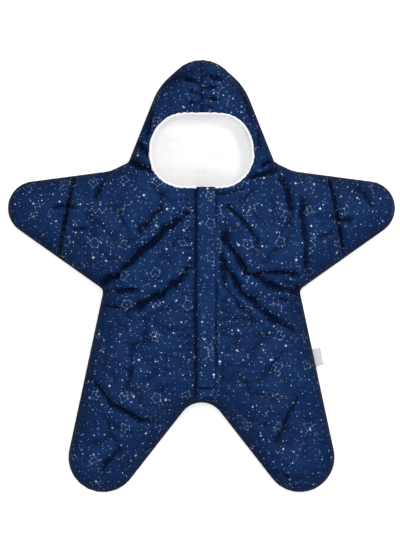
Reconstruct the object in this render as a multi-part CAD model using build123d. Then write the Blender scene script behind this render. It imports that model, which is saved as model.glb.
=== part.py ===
"""A star-shaped wearable baby sleeping bag, lying on its back.

Frame: +Z is out of the chest and +Y is towards the hood. Left and right are the wearer's, so the wearer's
left is +X. The origin is on the rest face, under the middle of the bag. All lengths are in millimetres.

Each padded wall is three nested layers: printed cotton outside, wadding, and white cotton lining inside.
The layers are nested star-shaped pillows, and plan-view regions cut them into the pieces that move: hood,
sleeves, hand covers, legs and the two halves of the front opening.
"""

import os

from build123d import *

# Driving dimensions
THICKNESS = 66.0            # rest face to the top of the chest
SEAM_Z = 16.0               # height of the edge seam that joins front to back
TOP_ROUND = 30.0            # how softly the front rolls over to the edge seam
BOTTOM_ROUND = 12.0         # the same for the back
FABRIC = 1.1                # cotton, doubled for its turned edges
WADDING = 6.5
LAYER_GAP = 0.1             # between two layers of one wall
WALL = 2 * FABRIC + WADDING + 2 * LAYER_GAP
PIECE_GAP = 0.4             # between two neighbouring pieces

# The wearer's left half of the star: corner points and the radius that rounds each corner
HOOD_TIP, HOOD_TIP_R = (0, 407), 63
HOOD_CHEEK, HOOD_CHEEK_R = (77, 338), 110
NECK, NECK_R = (130.5, 203), 9
SHOULDER, SHOULDER_R = (163, 187.5), 60
HAND, HAND_R = (426, 153), 48.4
UNDERARM, UNDERARM_R = (175, -24.5), 12
FOOT, FOOT_R = (293.5, -576), 62.5
CROTCH, CROTCH_R = (0, -200), 41.5

# Face opening
FACE_WIDTH = 184.0
FACE_HEIGHT = 130.0
FACE_CORNER = 60.0
FACE_Y = 221.0
BINDING = 2.6
BINDING_CLEARANCE = 0.15    # room between the binding and the cut edge it covers

# Lines that the pieces bend or part along
HOOD_FOLD_Y = 185.0
HOOD_FOLD_X = 118.0         # the fold runs straight between -x and +x, then out to the neck corner
HIP = (206, -172)
CROTCH_APEX = (0, -226)
HAND_SLIT_TOP = (221, 200)
HAND_SLIT_BOTTOM = (256, 20)
LAPEL_TOP = (83, HOOD_FOLD_Y)
LAPEL_BOTTOM = (24, -195)

# Zip, with its chain on the centre line
PANEL_EDGE = 6.6            # zip centre to the edge of each front half
TAPE_HALF = 15.5
TAPE_INNER = 1.6
TAPE_THICK = 0.6
TAPE_BESIDE_SLIDER = 5.7    # above the chain the tape is cut back to clear the slider
TOOTH_PITCH = 3.2
TOOTH_LENGTH = 1.9
TOOTH_INNER = 1.1
TOOTH_REACH = 2.4
TOOTH_HEIGHT = 2.4
ZIP_TOP_Y = 150.0           # the slider's upper end when the bag is closed
SLIDER_LENGTH = 12.0
SLIDER_WIDTH = 10.0
WEDGE_WIDTH = 1.8           # the slider's divider, which runs between the two rows of teeth
WEDGE_LENGTH = 2.6
PLATE = 1.0
SLOT = 3.4                  # between the slider's plates
TOP_STOP_LENGTH = 2.4
BOTTOM_STOP_LENGTH = 4.0
BOTTOM_STOP_Y = -194.8
POST_R = 1.3
PULLER_LENGTH = 34.0
PULLER_WIDTH = 6.5
PULLER_THICK = 1.0
PULLER_ANGLE = 10.0         # the tab lies sideways, so that its tip shows beside the flap
PULLER_EYE = 3.2            # post to the near end of the tab
PULLER_SLOT_X = 21.0        # post to the middle of the slot in the tab
PULLER_SLOT = (10.2, 2.6)

# Placket flap over the zip
FLAP_LEFT_X = 24.0          # free edge
FLAP_RIGHT_X = -9.0         # sewn edge
FLAP_THICK = 2.2
FLAP_CLEARANCE = 3.0        # room under the flap for the puller
FLAP_TOP_Y = 154.0
FLAP_BOTTOM_Y = -194.4
FLAP_STITCH = 1.6           # width of the ridge that the flap is sewn along
TAIL_GAP = 4.0              # lets the front halves open past the sewn-down tail
TAIL_BOTTOM_Y = -212.0

# Woven side label
LABEL_Y = -146.0
LABEL_LENGTH = 31.0
LABEL_REACH = 14.0
LABEL_THICK = 1.0
LABEL_GAP = 1.4             # edge seam to the near edge of the label

ELASTIC_WIDTH = 5.0
ELASTIC_THICK = 1.2
ELASTIC_LENGTH = 72.0

TALL = 200.0                # higher than anything here, for cutting prisms
TOP = THICKNESS


def mirrored(points):
    """The same points on the wearer's right, in reverse order so that the loop keeps its direction."""
    return [(-x, y) for x, y in reversed(points)]


def prism(points, low=-TALL, high=TALL, shrink=PIECE_GAP / 2):
    """A tall block over a plan-view polygon, drawn in by half the gap between pieces."""
    face = make_face(Polyline(*points, close=True))
    if shrink:
        face = offset(face, amount=-shrink)
    return extrude(Pos(0, 0, low) * face, amount=high - low)


def star_face():
    """The plan outline of the bag, with every corner rounded."""
    corners = [
        (HOOD_TIP, HOOD_TIP_R), (HOOD_CHEEK, HOOD_CHEEK_R), (NECK, NECK_R), (SHOULDER, SHOULDER_R),
        (HAND, HAND_R), (UNDERARM, UNDERARM_R), (FOOT, FOOT_R), (CROTCH, CROTCH_R),
    ]
    on_the_left = corners[1:-1]
    on_the_right = [((-x, y), r) for (x, y), r in reversed(on_the_left)]
    loop = [corners[0], *on_the_left, corners[-1], *on_the_right]
    face = make_face(Polyline(*[point for point, _ in loop], close=True))
    for (x, y), radius in loop:
        vertex = min(face.vertices(), key=lambda v: abs(v.X - x) + abs(v.Y - y))
        face = fillet(vertex, radius)
    return face


def pillow(face, inset):
    """The whole bag as one rounded block, drawn in on every side by inset."""
    drawn_in = offset(face, amount=-inset) if inset else face
    block = extrude(Pos(0, 0, inset) * drawn_in, amount=THICKNESS - 2 * inset)
    block = fillet(block.edges().group_by(Axis.Z)[-1], TOP_ROUND - inset)
    return fillet(block.edges().group_by(Axis.Z)[0], BOTTOM_ROUND - inset)


def layers(face):
    """The outer cotton, the wadding and the lining, each a hollow star."""
    wadding_from = FABRIC + LAYER_GAP
    lining_from = wadding_from + WADDING + LAYER_GAP
    bounds = {
        "outer": (0, FABRIC),
        "wadding": (wadding_from, wadding_from + WADDING),
        "lining": (lining_from, WALL),
    }
    return {name: pillow(face, a) - pillow(face, b) for name, (a, b) in bounds.items()}


def face_prism(extra=0.0):
    """The face opening, cut through the front only."""
    oval = RectangleRounded(FACE_WIDTH + 2 * extra, FACE_HEIGHT + 2 * extra, FACE_CORNER + extra)
    return extrude(Pos(0, FACE_Y, THICKNESS / 2) * oval, amount=TALL)


def along_slit(distance):
    """A point on the left sleeve, outward from the middle of the hand slit, and the slit's direction."""
    a, b = Vector(*HAND_SLIT_TOP, 0), Vector(*HAND_SLIT_BOTTOM, 0)
    run = (b - a).normalized()
    outward = Vector(-run.Y, run.X, 0)
    return (a + b) / 2 + outward * distance, run


def square_out(start, end, distance):
    """The corner points of a block on the left of start to end, squared off at both ends."""
    a, b = Vector(*start, 0), Vector(*end, 0)
    run = (b - a).normalized()
    outward = Vector(-run.Y, run.X, 0) * distance
    return [(p.X, p.Y) for p in (a, a + outward, b + outward, b)]


def regions():
    """Plan-view blocks for the left half and the middle, by name, each with a _cut that is a gap larger."""
    hood_side = [(HOOD_FOLD_X, HOOD_FOLD_Y), NECK, (NECK[0] + 10, 420)]
    hood = hood_side + mirrored(hood_side)
    sleeve = square_out(NECK, UNDERARM, 400)
    leg = square_out(HIP, CROTCH_APEX, 400)
    hand = square_out(HAND_SLIT_TOP, HAND_SLIT_BOTTOM, 200)
    lapel = [(PANEL_EDGE, LAPEL_TOP[1]), LAPEL_TOP, LAPEL_BOTTOM, (PANEL_EDGE, LAPEL_BOTTOM[1])]
    slit_side = [(PANEL_EDGE, LAPEL_TOP[1]), (PANEL_EDGE, LAPEL_BOTTOM[1])]
    half_gap = PIECE_GAP / 2
    made = {"slit": prism(slit_side + mirrored(slit_side), low=THICKNESS / 2, shrink=0)}
    lows = {"hood": -TALL, "sleeve": -TALL, "leg": -TALL, "hand": SEAM_Z, "lapel": THICKNESS / 2}
    blocks = {"hood": hood, "sleeve": sleeve, "leg": leg, "hand": hand, "lapel": lapel}
    for name, points in blocks.items():
        made[name] = prism(points, low=lows[name] + half_gap)
        made[f"{name}_cut"] = prism(points, low=lows[name] - half_gap, shrink=-half_gap)
    return made


def half_space(above):
    """Everything above, or below, the edge seam."""
    half_gap = PIECE_GAP / 4
    block = Box(2000, 2000, TALL, align=(Align.CENTER, Align.CENTER, Align.MIN if above else Align.MAX))
    return Pos(0, 0, SEAM_Z + (half_gap if above else -half_gap)) * block


def side_space(left):
    """Everything on the wearer's left, or right, of the centre line."""
    half_gap = PIECE_GAP / 4
    outward = Align.MIN if left else Align.MAX
    block = Box(1000, 2000, 2 * TALL, align=(outward, Align.CENTER, Align.CENTER))
    return Pos(half_gap if left else -half_gap, 0, 0) * block


def other_side(shape):
    """The same shape on the wearer's right."""
    return mirror(shape, about=Plane.YZ)


def walls(face):
    """Every padded piece, by node name."""
    layer, region = layers(face), regions()
    opening = face_prism()
    front, back = half_space(True), half_space(False)
    hood = {name: (shape & region["hood"]) - opening for name, shape in layer.items()}
    made = {
        "hood_front_left_outer": hood["outer"] & front & side_space(True),
        "hood_front_right_outer": hood["outer"] & front & side_space(False),
        "hood_back_outer": hood["outer"] & back,
        "hood_wadding": hood["wadding"],
        "hood_lining": hood["lining"],
    }
    for name, shape in layer.items():
        body = shape - region["hood_cut"] - opening - region["slit"]
        for cut in ("sleeve_cut", "leg_cut", "lapel_cut"):
            body = body - region[cut] - other_side(region[cut])
        if name == "outer":
            made["back_outer"] = body & back
            made["front_side_left_outer"] = body & front & side_space(True)
            made["front_side_right_outer"] = body & front & side_space(False)
        else:
            made[f"body_{name}"] = body
        lapel = (shape & region["lapel"]) - opening
        sleeve = (shape & region["sleeve"]) - region["hand_cut"]
        hand = shape & region["hand"]
        leg = shape & region["leg"]
        if name != "outer":
            # the wadding and lining stop short of the zip, so that its tape lies flat under the cotton
            lapel = lapel - Box(2 * (TAPE_HALF + PIECE_GAP), 2000, 2 * TALL)
        for side, turn in (("left", lambda s: s), ("right", other_side)):
            made[f"front_{side}_{name}"] = turn(lapel)
            made[f"hand_cover_{side}_{name}"] = turn(hand)
            if name == "outer":
                made[f"sleeve_front_{side}_outer"] = turn(sleeve & front)
                made[f"sleeve_back_{side}_outer"] = turn(sleeve & back)
                made[f"leg_front_{side}_outer"] = turn(leg & front)
                made[f"leg_back_{side}_outer"] = turn(leg & back)
            else:
                made[f"sleeve_{side}_{name}"] = turn(sleeve)
                made[f"leg_{side}_{name}"] = turn(leg)
    return made


def bindings():
    """The white binding round the face opening, parted where the hood and the front halves part."""
    ring = face_prism(-BINDING_CLEARANCE) - face_prism(-BINDING)
    ring = ring & Pos(0, 0, TOP) * Box(400, 800, WALL, align=(Align.CENTER, Align.CENTER, Align.MAX))
    region = regions()
    neck = ring & region["lapel"]
    return {
        "face_binding": ring & region["hood"],
        "neck_binding_left": neck,
        "neck_binding_right": other_side(neck),
    }


def zip_half(cord_z):
    """The left half of the chain: tape, teeth and top stop, with the tape's middle at cord_z."""
    chain_top = ZIP_TOP_Y - SLIDER_LENGTH - 0.5
    tape_top = ZIP_TOP_Y + TOP_STOP_LENGTH + 1
    tape_bottom = BOTTOM_STOP_Y + BOTTOM_STOP_LENGTH + PIECE_GAP
    outline = [
        (TAPE_INNER, tape_bottom), (TAPE_HALF, tape_bottom), (TAPE_HALF, tape_top),
        (TAPE_BESIDE_SLIDER, tape_top), (TAPE_BESIDE_SLIDER, chain_top), (TAPE_INNER, chain_top),
    ]
    tape = prism(outline, low=cord_z - TAPE_THICK / 2, high=cord_z + TAPE_THICK / 2, shrink=0)
    grip = Box(10, 400, TAPE_THICK + 0.1, align=(Align.MIN, Align.CENTER, Align.CENTER))
    outward = (Align.MIN, Align.CENTER, Align.CENTER)
    tooth = Pos(TOOTH_INNER, 0, 0) * Box(TOOTH_REACH, TOOTH_LENGTH, TOOTH_HEIGHT, align=outward)
    tooth = tooth - Pos(TAPE_INNER - 0.05, 0, 0) * grip
    count = int((chain_top - tape_bottom) / TOOTH_PITCH)
    teeth = [Pos(0, tape_bottom + (i + 0.5) * TOOTH_PITCH, cord_z) * tooth for i in range(count)]
    stop = Box(4.0, TOP_STOP_LENGTH, TOOTH_HEIGHT, align=(Align.MIN, Align.MIN, Align.CENTER))
    stop = Pos(2.4, 0, 0) * stop - Pos(TAPE_BESIDE_SLIDER - 0.05, 0, 0) * grip
    return {
        "zip_tape": tape,
        "zip_teeth": Compound(children=teeth),
        "zip_top_stop": Pos(0, ZIP_TOP_Y + 0.4, cord_z) * stop,
    }


def zip_slider_parts(cord_z):
    """The slider, with plates joined by the divider at its upper end, and the puller on its post."""
    middle_y = ZIP_TOP_Y - SLIDER_LENGTH / 2
    on_top = (Align.CENTER, Align.CENTER, Align.MIN)
    plate = fillet(Box(SLIDER_WIDTH, SLIDER_LENGTH, PLATE).edges().filter_by(Axis.Z), 2.5)
    plate_z = (SLOT + PLATE) / 2
    wedge = Box(WEDGE_WIDTH, WEDGE_LENGTH, SLOT + PLATE)
    wedge = Pos(0, (SLIDER_LENGTH - WEDGE_LENGTH) / 2 - 0.3, 0) * wedge
    lip_drop = (SLOT - TAPE_THICK) / 2 - 0.35
    lip = Box(1, SLIDER_LENGTH - 5.2, lip_drop + 0.1, align=on_top)
    lip = Pos((SLIDER_WIDTH - 1) / 2, 0, SLOT / 2 - lip_drop) * lip
    plate_top = SLOT / 2 + PLATE
    post = Pos(0, 0, plate_top - 0.1) * Cylinder(POST_R, PULLER_THICK + 0.5, align=on_top)
    slider = Pos(0, 0, plate_z) * plate + Pos(0, 0, -plate_z) * plate + wedge + lip + other_side(lip) + post

    tab = Box(PULLER_LENGTH, PULLER_WIDTH, PULLER_THICK)
    tab = fillet(tab.edges().filter_by(Axis.Z), PULLER_WIDTH / 2 - 0.1)
    tab = Pos(PULLER_LENGTH / 2 - PULLER_EYE, 0, 0) * tab - Cylinder(POST_R + 0.05, 10)
    tab = tab - Pos(PULLER_SLOT_X, 0, 0) * Box(*PULLER_SLOT, 10)
    puller = Pos(0, 0, plate_top + 0.15 + PULLER_THICK / 2) * Rot(0, 0, PULLER_ANGLE) * tab
    place = Pos(0, middle_y, cord_z)
    return {"zip_slider": place * slider, "zip_puller": place * puller}


def zip_parts():
    """The whole zip. Its tapes lie just under the cotton of the two front halves."""
    cord_z = TOP - FABRIC - LAYER_GAP - 0.2 - TAPE_THICK / 2
    made = zip_slider_parts(cord_z)
    for name, shape in zip_half(cord_z).items():
        made[f"{name}_left"] = shape
        made[f"{name}_right"] = other_side(shape)
    stop = Box(6, BOTTOM_STOP_LENGTH, TOOTH_HEIGHT, align=(Align.CENTER, Align.MIN, Align.CENTER))
    made["zip_bottom_stop"] = Pos(0, BOTTOM_STOP_Y, cord_z) * stop
    return made


def placket():
    """The flap that covers the zip, sewn along the right front half, and its sewn-down tail."""
    low_left = (Align.MIN, Align.MIN, Align.MIN)
    width, length = FLAP_LEFT_X - FLAP_RIGHT_X, FLAP_TOP_Y - FLAP_BOTTOM_Y
    flap = Pos(0, 0, FLAP_CLEARANCE) * Box(width, length, FLAP_THICK, align=low_left)
    ridge = Pos(0, 0, 0.1) * Box(FLAP_STITCH, length, FLAP_CLEARANCE, align=low_left)
    tail = Box(width, FLAP_BOTTOM_Y - TAIL_GAP - TAIL_BOTTOM_Y, FLAP_THICK, align=low_left)
    return {
        "placket_flap": Pos(FLAP_RIGHT_X, FLAP_BOTTOM_Y, TOP) * (flap + ridge),
        "placket_tail": Pos(FLAP_RIGHT_X, TAIL_BOTTOM_Y, TOP + 0.1) * tail,
    }


def label_and_elastic():
    """The woven label in the side seam and the elastic in the mouth of each hand cover."""
    side = (Vector(*FOOT, 0) - Vector(*UNDERARM, 0)).normalized()
    edge_x = UNDERARM[0] + (LABEL_Y - UNDERARM[1]) * side.X / side.Y
    angle = Vector(0, -1, 0).get_signed_angle(side, Vector(0, 0, 1))
    tab = Box(LABEL_REACH, LABEL_LENGTH, LABEL_THICK, align=(Align.MIN, Align.CENTER, Align.CENTER))
    label = Pos(edge_x + LABEL_GAP, LABEL_Y, SEAM_Z) * Rot(0, 0, angle) * tab
    point, run = along_slit(ELASTIC_WIDTH / 2 + 2)
    turn = Vector(0, -1, 0).get_signed_angle(run, Vector(0, 0, 1))
    band = Rot(0, 0, turn) * Box(ELASTIC_WIDTH, ELASTIC_LENGTH, ELASTIC_THICK)
    elastic = Pos(point.X, point.Y, TOP - WALL - ELASTIC_THICK / 2 - 0.1) * band
    return {"side_label": label, "hand_elastic_left": elastic, "hand_elastic_right": other_side(elastic)}


def main():
    os.makedirs("parts", exist_ok=True)
    made = {**walls(star_face()), **bindings(), **zip_parts(), **placket(), **label_and_elastic()}
    for name, shape in made.items():
        export_step(shape, f"parts/{name}.step")


main()
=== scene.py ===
"""The looks of a star-shaped padded baby sleeping bag, built round its CAD frame.

The bag lies on its back: +Z is out of the chest, +Y is towards the hood, and left is the wearer's left, at +X.
Sizes below are in millimetres and are scaled to metres where a mesh is made.
"""

import copy
import math

import bpy
import numpy as np
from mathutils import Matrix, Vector, noise
from mathutils.geometry import delaunay_2d_cdt


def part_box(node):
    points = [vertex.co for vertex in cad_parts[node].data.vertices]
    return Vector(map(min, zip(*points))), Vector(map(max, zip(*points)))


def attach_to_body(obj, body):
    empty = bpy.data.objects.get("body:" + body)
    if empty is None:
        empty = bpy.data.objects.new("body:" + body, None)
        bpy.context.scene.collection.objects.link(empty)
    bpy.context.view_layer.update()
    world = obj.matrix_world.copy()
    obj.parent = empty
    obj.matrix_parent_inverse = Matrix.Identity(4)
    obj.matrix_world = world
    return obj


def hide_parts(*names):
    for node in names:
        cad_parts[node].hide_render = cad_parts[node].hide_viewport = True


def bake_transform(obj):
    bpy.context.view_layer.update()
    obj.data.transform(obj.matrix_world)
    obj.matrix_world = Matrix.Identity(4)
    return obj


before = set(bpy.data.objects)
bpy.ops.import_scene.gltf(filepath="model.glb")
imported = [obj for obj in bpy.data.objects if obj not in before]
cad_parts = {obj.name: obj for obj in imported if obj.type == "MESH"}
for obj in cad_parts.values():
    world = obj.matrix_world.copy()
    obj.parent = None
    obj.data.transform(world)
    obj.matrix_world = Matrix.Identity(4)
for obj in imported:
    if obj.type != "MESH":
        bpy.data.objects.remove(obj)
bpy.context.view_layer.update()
MM = 0.001

# ---------------------------------------------------------------------------------------------- plan-view sizes, in mm

# The wearer's left half of the star: corner and rounding radius, from the hood's tip round to the crotch
STAR = [
    ((0, 407), 63), ((77, 338), 110), ((130.5, 203), 9), ((163, 187.5), 60),
    ((426, 153), 48.4), ((175, -24.5), 12), ((293.5, -576), 62.5), ((0, -200), 41.5),
]
NECK, UNDERARM = STAR[2][0], STAR[5][0]
HIP, CROTCH = (206, -172), (0, -226)
HOOD_FOLD = (118, 185)
SLIT_TOP, SLIT_BOTTOM = (221, 200), (256, 20)
LAPEL_TOP, LAPEL_BOTTOM = (83, 185), (24, -195)
PANEL_EDGE = 6.6
FACE_CENTRE, FACE_SIZE, FACE_CORNER = (0, 221), (184, 130), 60
FLAP_X, FLAP_Y = (-9, 24), (-194.4, 157)
FLAP_LOW = 67.2
TAIL_Y = (-212, -198.4)

SEAM_Z, TOP_Z = 16.0, 66.0
ROLL, BACK_ROLL = 41.0, 26.0        # how far in from the edge seam the front and the back flatten out
RINGS = [0.5, 1.7, 3.6, 6.2, 9.4, 13.2, 17.6, 22.6]     # mesh lines that follow the edge seam, at these distances
HALF_WALL = 4.3                     # half the thickness of a padded wall; the printed cotton carries this much
LINING_THICK = 3.0
GRID = 4.2

# ------------------------------------------------------------------------------------------------------ plan geometry


def rounded_loop(corners, step):
    """Points along a closed loop whose corners are rounded by an arc of the given radius."""
    loop = []
    count = len(corners)
    for i, (corner, radius) in enumerate(corners):
        here = np.array(corner, float)
        a = np.array(corners[i - 1][0], float) - here
        b = np.array(corners[(i + 1) % count][0], float) - here
        a, b = a / np.linalg.norm(a), b / np.linalg.norm(b)
        half = math.acos(np.clip(a @ b, -1, 1)) / 2
        start, end = here + a * radius / math.tan(half), here + b * radius / math.tan(half)
        centre = here + (a + b) / np.linalg.norm(a + b) * radius / math.sin(half)
        sweep = math.pi - 2 * half
        pieces = max(6, round(sweep * radius / step))
        first = math.atan2(*(start - centre)[::-1])
        turn = math.atan2(*(end - centre)[::-1]) - first
        turn = (turn + math.pi) % (2 * math.pi) - math.pi
        for k in range(pieces + 1):
            angle = first + turn * k / pieces
            loop.append(centre + radius * np.array([math.cos(angle), math.sin(angle)]))
    spaced = []
    for p, q in zip(loop, loop[1:] + loop[:1]):
        runs = max(1, round(np.linalg.norm(q - p) / step))
        if np.linalg.norm(q - p) > 1e-6:
            spaced += [p + (q - p) * k / runs for k in range(runs)]
    return np.array(spaced)


def star_loop(step):
    left = STAR[1:-1]
    right = [((-x, y), r) for (x, y), r in reversed(left)]
    return rounded_loop([STAR[0], *left, STAR[-1], *right], step)


def oval_loop(step, grow=0.0):
    w, h, r = FACE_SIZE[0] / 2 + grow, FACE_SIZE[1] / 2 + grow, FACE_CORNER + grow
    corners = [((w, -h), r), ((w, h), r), ((-w, h), r), ((-w, -h), r)]
    return rounded_loop(corners, step) + np.array(FACE_CENTRE)


def loop_normals(loop):
    """Unit vectors to the right of travel at each point of a closed loop."""
    run = np.roll(loop, -1, axis=0) - np.roll(loop, 1, axis=0)
    run /= np.linalg.norm(run, axis=1, keepdims=True)
    return np.column_stack([run[:, 1], -run[:, 0]])


def nearest(points, line, closed=False):
    """For each point: distance to a polyline, length along it to the nearest place, and which side it lies on."""
    a = line if closed else line[:-1]
    b = np.roll(line, -1, axis=0) if closed else line[1:]
    run = b - a
    length = np.linalg.norm(run, axis=1)
    start = np.concatenate([[0], np.cumsum(length)[:-1]])
    best = np.full(len(points), 1e9)
    along, side = np.zeros(len(points)), np.zeros(len(points))
    for i in range(len(a)):
        rel = points - a[i]
        t = np.clip(rel @ run[i] / max(length[i] ** 2, 1e-12), 0, 1)
        gap = rel - t[:, None] * run[i]
        distance = np.hypot(gap[:, 0], gap[:, 1])
        closer = distance < best
        best[closer] = distance[closer]
        along[closer] = (start[i] + t * length[i])[closer]
        side[closer] = np.sign(run[i][0] * rel[:, 1] - run[i][1] * rel[:, 0])[closer]
    return best, along, side


def inside(points, loop):
    """Which points lie inside a closed loop."""
    hit = np.zeros(len(points), bool)
    x, y = points[:, 0], points[:, 1]
    for (x1, y1), (x2, y2) in zip(loop, np.roll(loop, -1, axis=0)):
        crosses = (y1 > y) != (y2 > y)
        hit ^= crosses & (x < (x2 - x1) * (y - y1) / (y2 - y1 + 1e-12) + x1)
    return hit


def smooth(t):
    t = np.clip(t, 0, 1)
    return t * t * (3 - 2 * t)


def line_side(points, a, b):
    """Signed distance to the line from a to b, positive on its left."""
    a, b = np.array(a, float), np.array(b, float)
    run = (b - a) / np.linalg.norm(b - a)
    rel = points - a
    return run[0] * rel[:, 1] - run[1] * rel[:, 0]


def mirrored(line):
    return [(-x, y) for x, y in line]


REGIONS = ["torso", "hood", "front_left", "front_right", "sleeve_left", "sleeve_right", "hand_cover_left",
           "hand_cover_right", "leg_left", "leg_right", "open"]


def region_of(points, front):
    """The body each point of the front, or of the back, belongs to, as an index into REGIONS."""
    x, y = np.abs(points[:, 0]), points[:, 1]
    left = points[:, 0] > 0
    folded = np.column_stack([x, y])
    found = np.zeros(len(points), int)

    def put(mask, name_left, name_right=None):
        found[mask & left] = REGIONS.index(name_left)
        found[mask & ~left] = REGIONS.index(name_right or name_left)

    beyond = (UNDERARM[0] + 4, UNDERARM[1] - 1)
    sleeve = (line_side(folded, NECK, UNDERARM) > 0) & (y < 230) & (x > 131)
    sleeve &= line_side(folded, UNDERARM, beyond) > 0
    put(sleeve, "sleeve_left", "sleeve_right")
    put(line_side(folded, HIP, CROTCH) > 0, "leg_left", "leg_right")
    put((y > HOOD_FOLD[1]) & (line_side(folded, HOOD_FOLD, NECK) > 0), "hood")
    put((y > NECK[1]) & (x < 150) & ~sleeve, "hood")
    if front:
        cover = sleeve & (line_side(folded, SLIT_TOP, SLIT_BOTTOM) > 0)
        put(cover, "hand_cover_left", "hand_cover_right")
        lapel = (line_side(folded, LAPEL_TOP, LAPEL_BOTTOM) < 0) & (y < LAPEL_TOP[1]) & (y > LAPEL_BOTTOM[1])
        put(lapel, "front_left", "front_right")
        put((x < PANEL_EDGE) & (y < LAPEL_TOP[1]) & (y > LAPEL_BOTTOM[1]), "open")
        put(inside(points, oval_loop(2.0)), "open")
    return found


def offset_line(line, distance):
    """A two-point line moved sideways."""
    a, b = np.array(line[0], float), np.array(line[1], float)
    run = (b - a) / np.linalg.norm(b - a)
    side = np.array([-run[1], run[0]]) * distance
    return [tuple(a + side), tuple(b + side)]


def chain(line, step):
    points = []
    for p, q in zip(line, line[1:]):
        p, q = np.array(p, float), np.array(q, float)
        runs = max(1, round(np.linalg.norm(q - p) / step))
        points += [p + (q - p) * k / runs for k in range(runs)]
    return points + [np.array(line[-1], float)]


SLIT = [(224.5, 182), (252.5, 38)]          # the part of the slit that is open
HOOD_SEAM = [(0, 283), (0, 386)]


# Seams whose lips close over a shadow: the line, its half width, and how dark it is
SEAM_SHADOWS = [
    (HOOD_SEAM, 2.4, 1.0),
    (SLIT, 3.0, 1.0),
    (mirrored(SLIT), 3.0, 1.0),
    ([(FLAP_X[0] - 1.5, 154), (FLAP_X[0] - 1.5, -206)], 3.2, 1.0),
]


def plan_mesh():
    """A triangle mesh over the star, with edges along the seams and along every line the bag parts or bends on."""
    star, oval = star_loop(GRID), oval_loop(GRID)
    both = [
        [HOOD_FOLD, NECK, (NECK[0] + 6, NECK[1] + 4)],
        [NECK, UNDERARM, (UNDERARM[0] + 4, UNDERARM[1] - 1)],
        [CROTCH, HIP, (HIP[0] + 6, HIP[1] + 6 * (HIP[1] - CROTCH[1]) / HIP[0])],
        [SLIT_TOP, SLIT_BOTTOM],
        [LAPEL_TOP, LAPEL_BOTTOM, (PANEL_EDGE, LAPEL_BOTTOM[1])],
        [(PANEL_EDGE, LAPEL_TOP[1]), (PANEL_EDGE, LAPEL_BOTTOM[1])],
        *[offset_line(SLIT, gap) for gap in (-5.5, -2.4, 2.4, 5.5)],
    ]
    lines = both + [mirrored(line) for line in both]
    lines += [[(-HOOD_FOLD[0], HOOD_FOLD[1]), HOOD_FOLD], HOOD_SEAM]
    lines += [offset_line(HOOD_SEAM, gap) for gap in (-3.6, -1.6, 1.6, 3.6)]
    loops = [star, oval, oval_loop(GRID, 2.2), oval_loop(GRID, 5.5)]
    loops += [star + loop_normals(star) * gap for gap in RINGS]
    points, edges = [], []

    def add(run, closed=False):
        first = len(points)
        points.extend(run)
        ids = list(range(first, len(points)))
        edges.extend(zip(ids, ids[1:] + ids[:1] if closed else ids[1:]))

    for loop in loops:
        add(list(loop), closed=True)
    for line in lines:
        add(chain(line, GRID))
    fixed = np.array(points)
    low, high = star.min(axis=0), star.max(axis=0)
    row = GRID * math.sqrt(3) / 2
    grid = []
    for j in range(int((high[1] - low[1]) / row) + 1):
        xs = np.arange(low[0] + (j % 2) * GRID / 2, high[0], GRID)
        grid.append(np.column_stack([xs, np.full(len(xs), low[1] + j * row)]))
    grid = np.concatenate(grid)
    grid = grid[inside(grid, star)]
    grid = grid[nearest(grid, star, closed=True)[0] > RINGS[-1] + GRID * 0.6]
    keep = np.ones(len(grid), bool)
    for i in range(0, len(fixed), 200):
        block = fixed[i:i + 200]
        keep &= np.linalg.norm(grid[:, None] - block[None], axis=2).min(axis=1) > GRID * 0.62
    every = [Vector(p) for p in np.concatenate([fixed, grid[keep]])]
    verts, _, faces, *_ = delaunay_2d_cdt(every, edges, [], 0, 0.1)
    verts, faces = np.array([v[:] for v in verts]), np.array(faces)
    faces = faces[inside(verts[faces].mean(axis=1), star)]
    used, faces = np.unique(faces, return_inverse=True)
    faces = faces.reshape(-1, 3)
    verts = verts[used]
    a, b, c = (verts[faces[:, i]] for i in range(3))
    turn = (b - a)[:, 0] * (c - a)[:, 1] - (b - a)[:, 1] * (c - a)[:, 0]
    faces[turn < 0] = faces[turn < 0][:, ::-1]
    return verts, faces


# ---------------------------------------------------------------------------------------------------- the padded shape


def roll_height(distance, roll, power):
    """How far up a padded panel has risen, 0 to 1, at a distance in from its edge seam."""
    t = 1 - np.clip(distance / roll, 0, 1)
    return (1 - t ** power) ** (1 / power)


def roll_excess(distance, roll, rise, power):
    """How much longer the rolled cloth is than its plan, from the distance given to where it flattens."""
    steps = np.linspace(0, roll, 600)
    height = rise * roll_height(steps, roll, power)
    length = np.concatenate([[0], np.cumsum(np.hypot(np.diff(steps), np.diff(height)))])
    return np.interp(distance, steps, (length[-1] - length) - (roll - steps))


def towards(points, loop):
    """Unit vectors in plan from each point towards the nearest place on the loop round it."""
    e = 0.5
    step = []
    for shift in ([e, 0], [-e, 0], [0, e], [0, -e]):
        moved = points + shift
        step.append(nearest(moved, loop, True)[0] * np.where(inside(moved, loop), 1, -1))
    gradient = np.column_stack([step[0] - step[1], step[2] - step[3]])
    return -gradient / np.maximum(np.linalg.norm(gradient, axis=1, keepdims=True), 1e-6)


def edges_of(faces):
    edges = np.concatenate([faces[:, [0, 1]], faces[:, [1, 2]], faces[:, [2, 0]]])
    return np.unique(np.sort(edges, axis=1), axis=0)


def relax(values, faces, rounds, strength):
    """Averages values between neighbours, more where strength is nearer 1."""
    edges = edges_of(faces)
    count = np.bincount(edges.ravel(), minlength=len(values))
    for _ in range(rounds):
        total = np.bincount(edges[:, 0], values[edges[:, 1]], len(values))
        total += np.bincount(edges[:, 1], values[edges[:, 0]], len(values))
        values = values + strength * 0.6 * (total / np.maximum(count, 1) - values)
    return values


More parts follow.
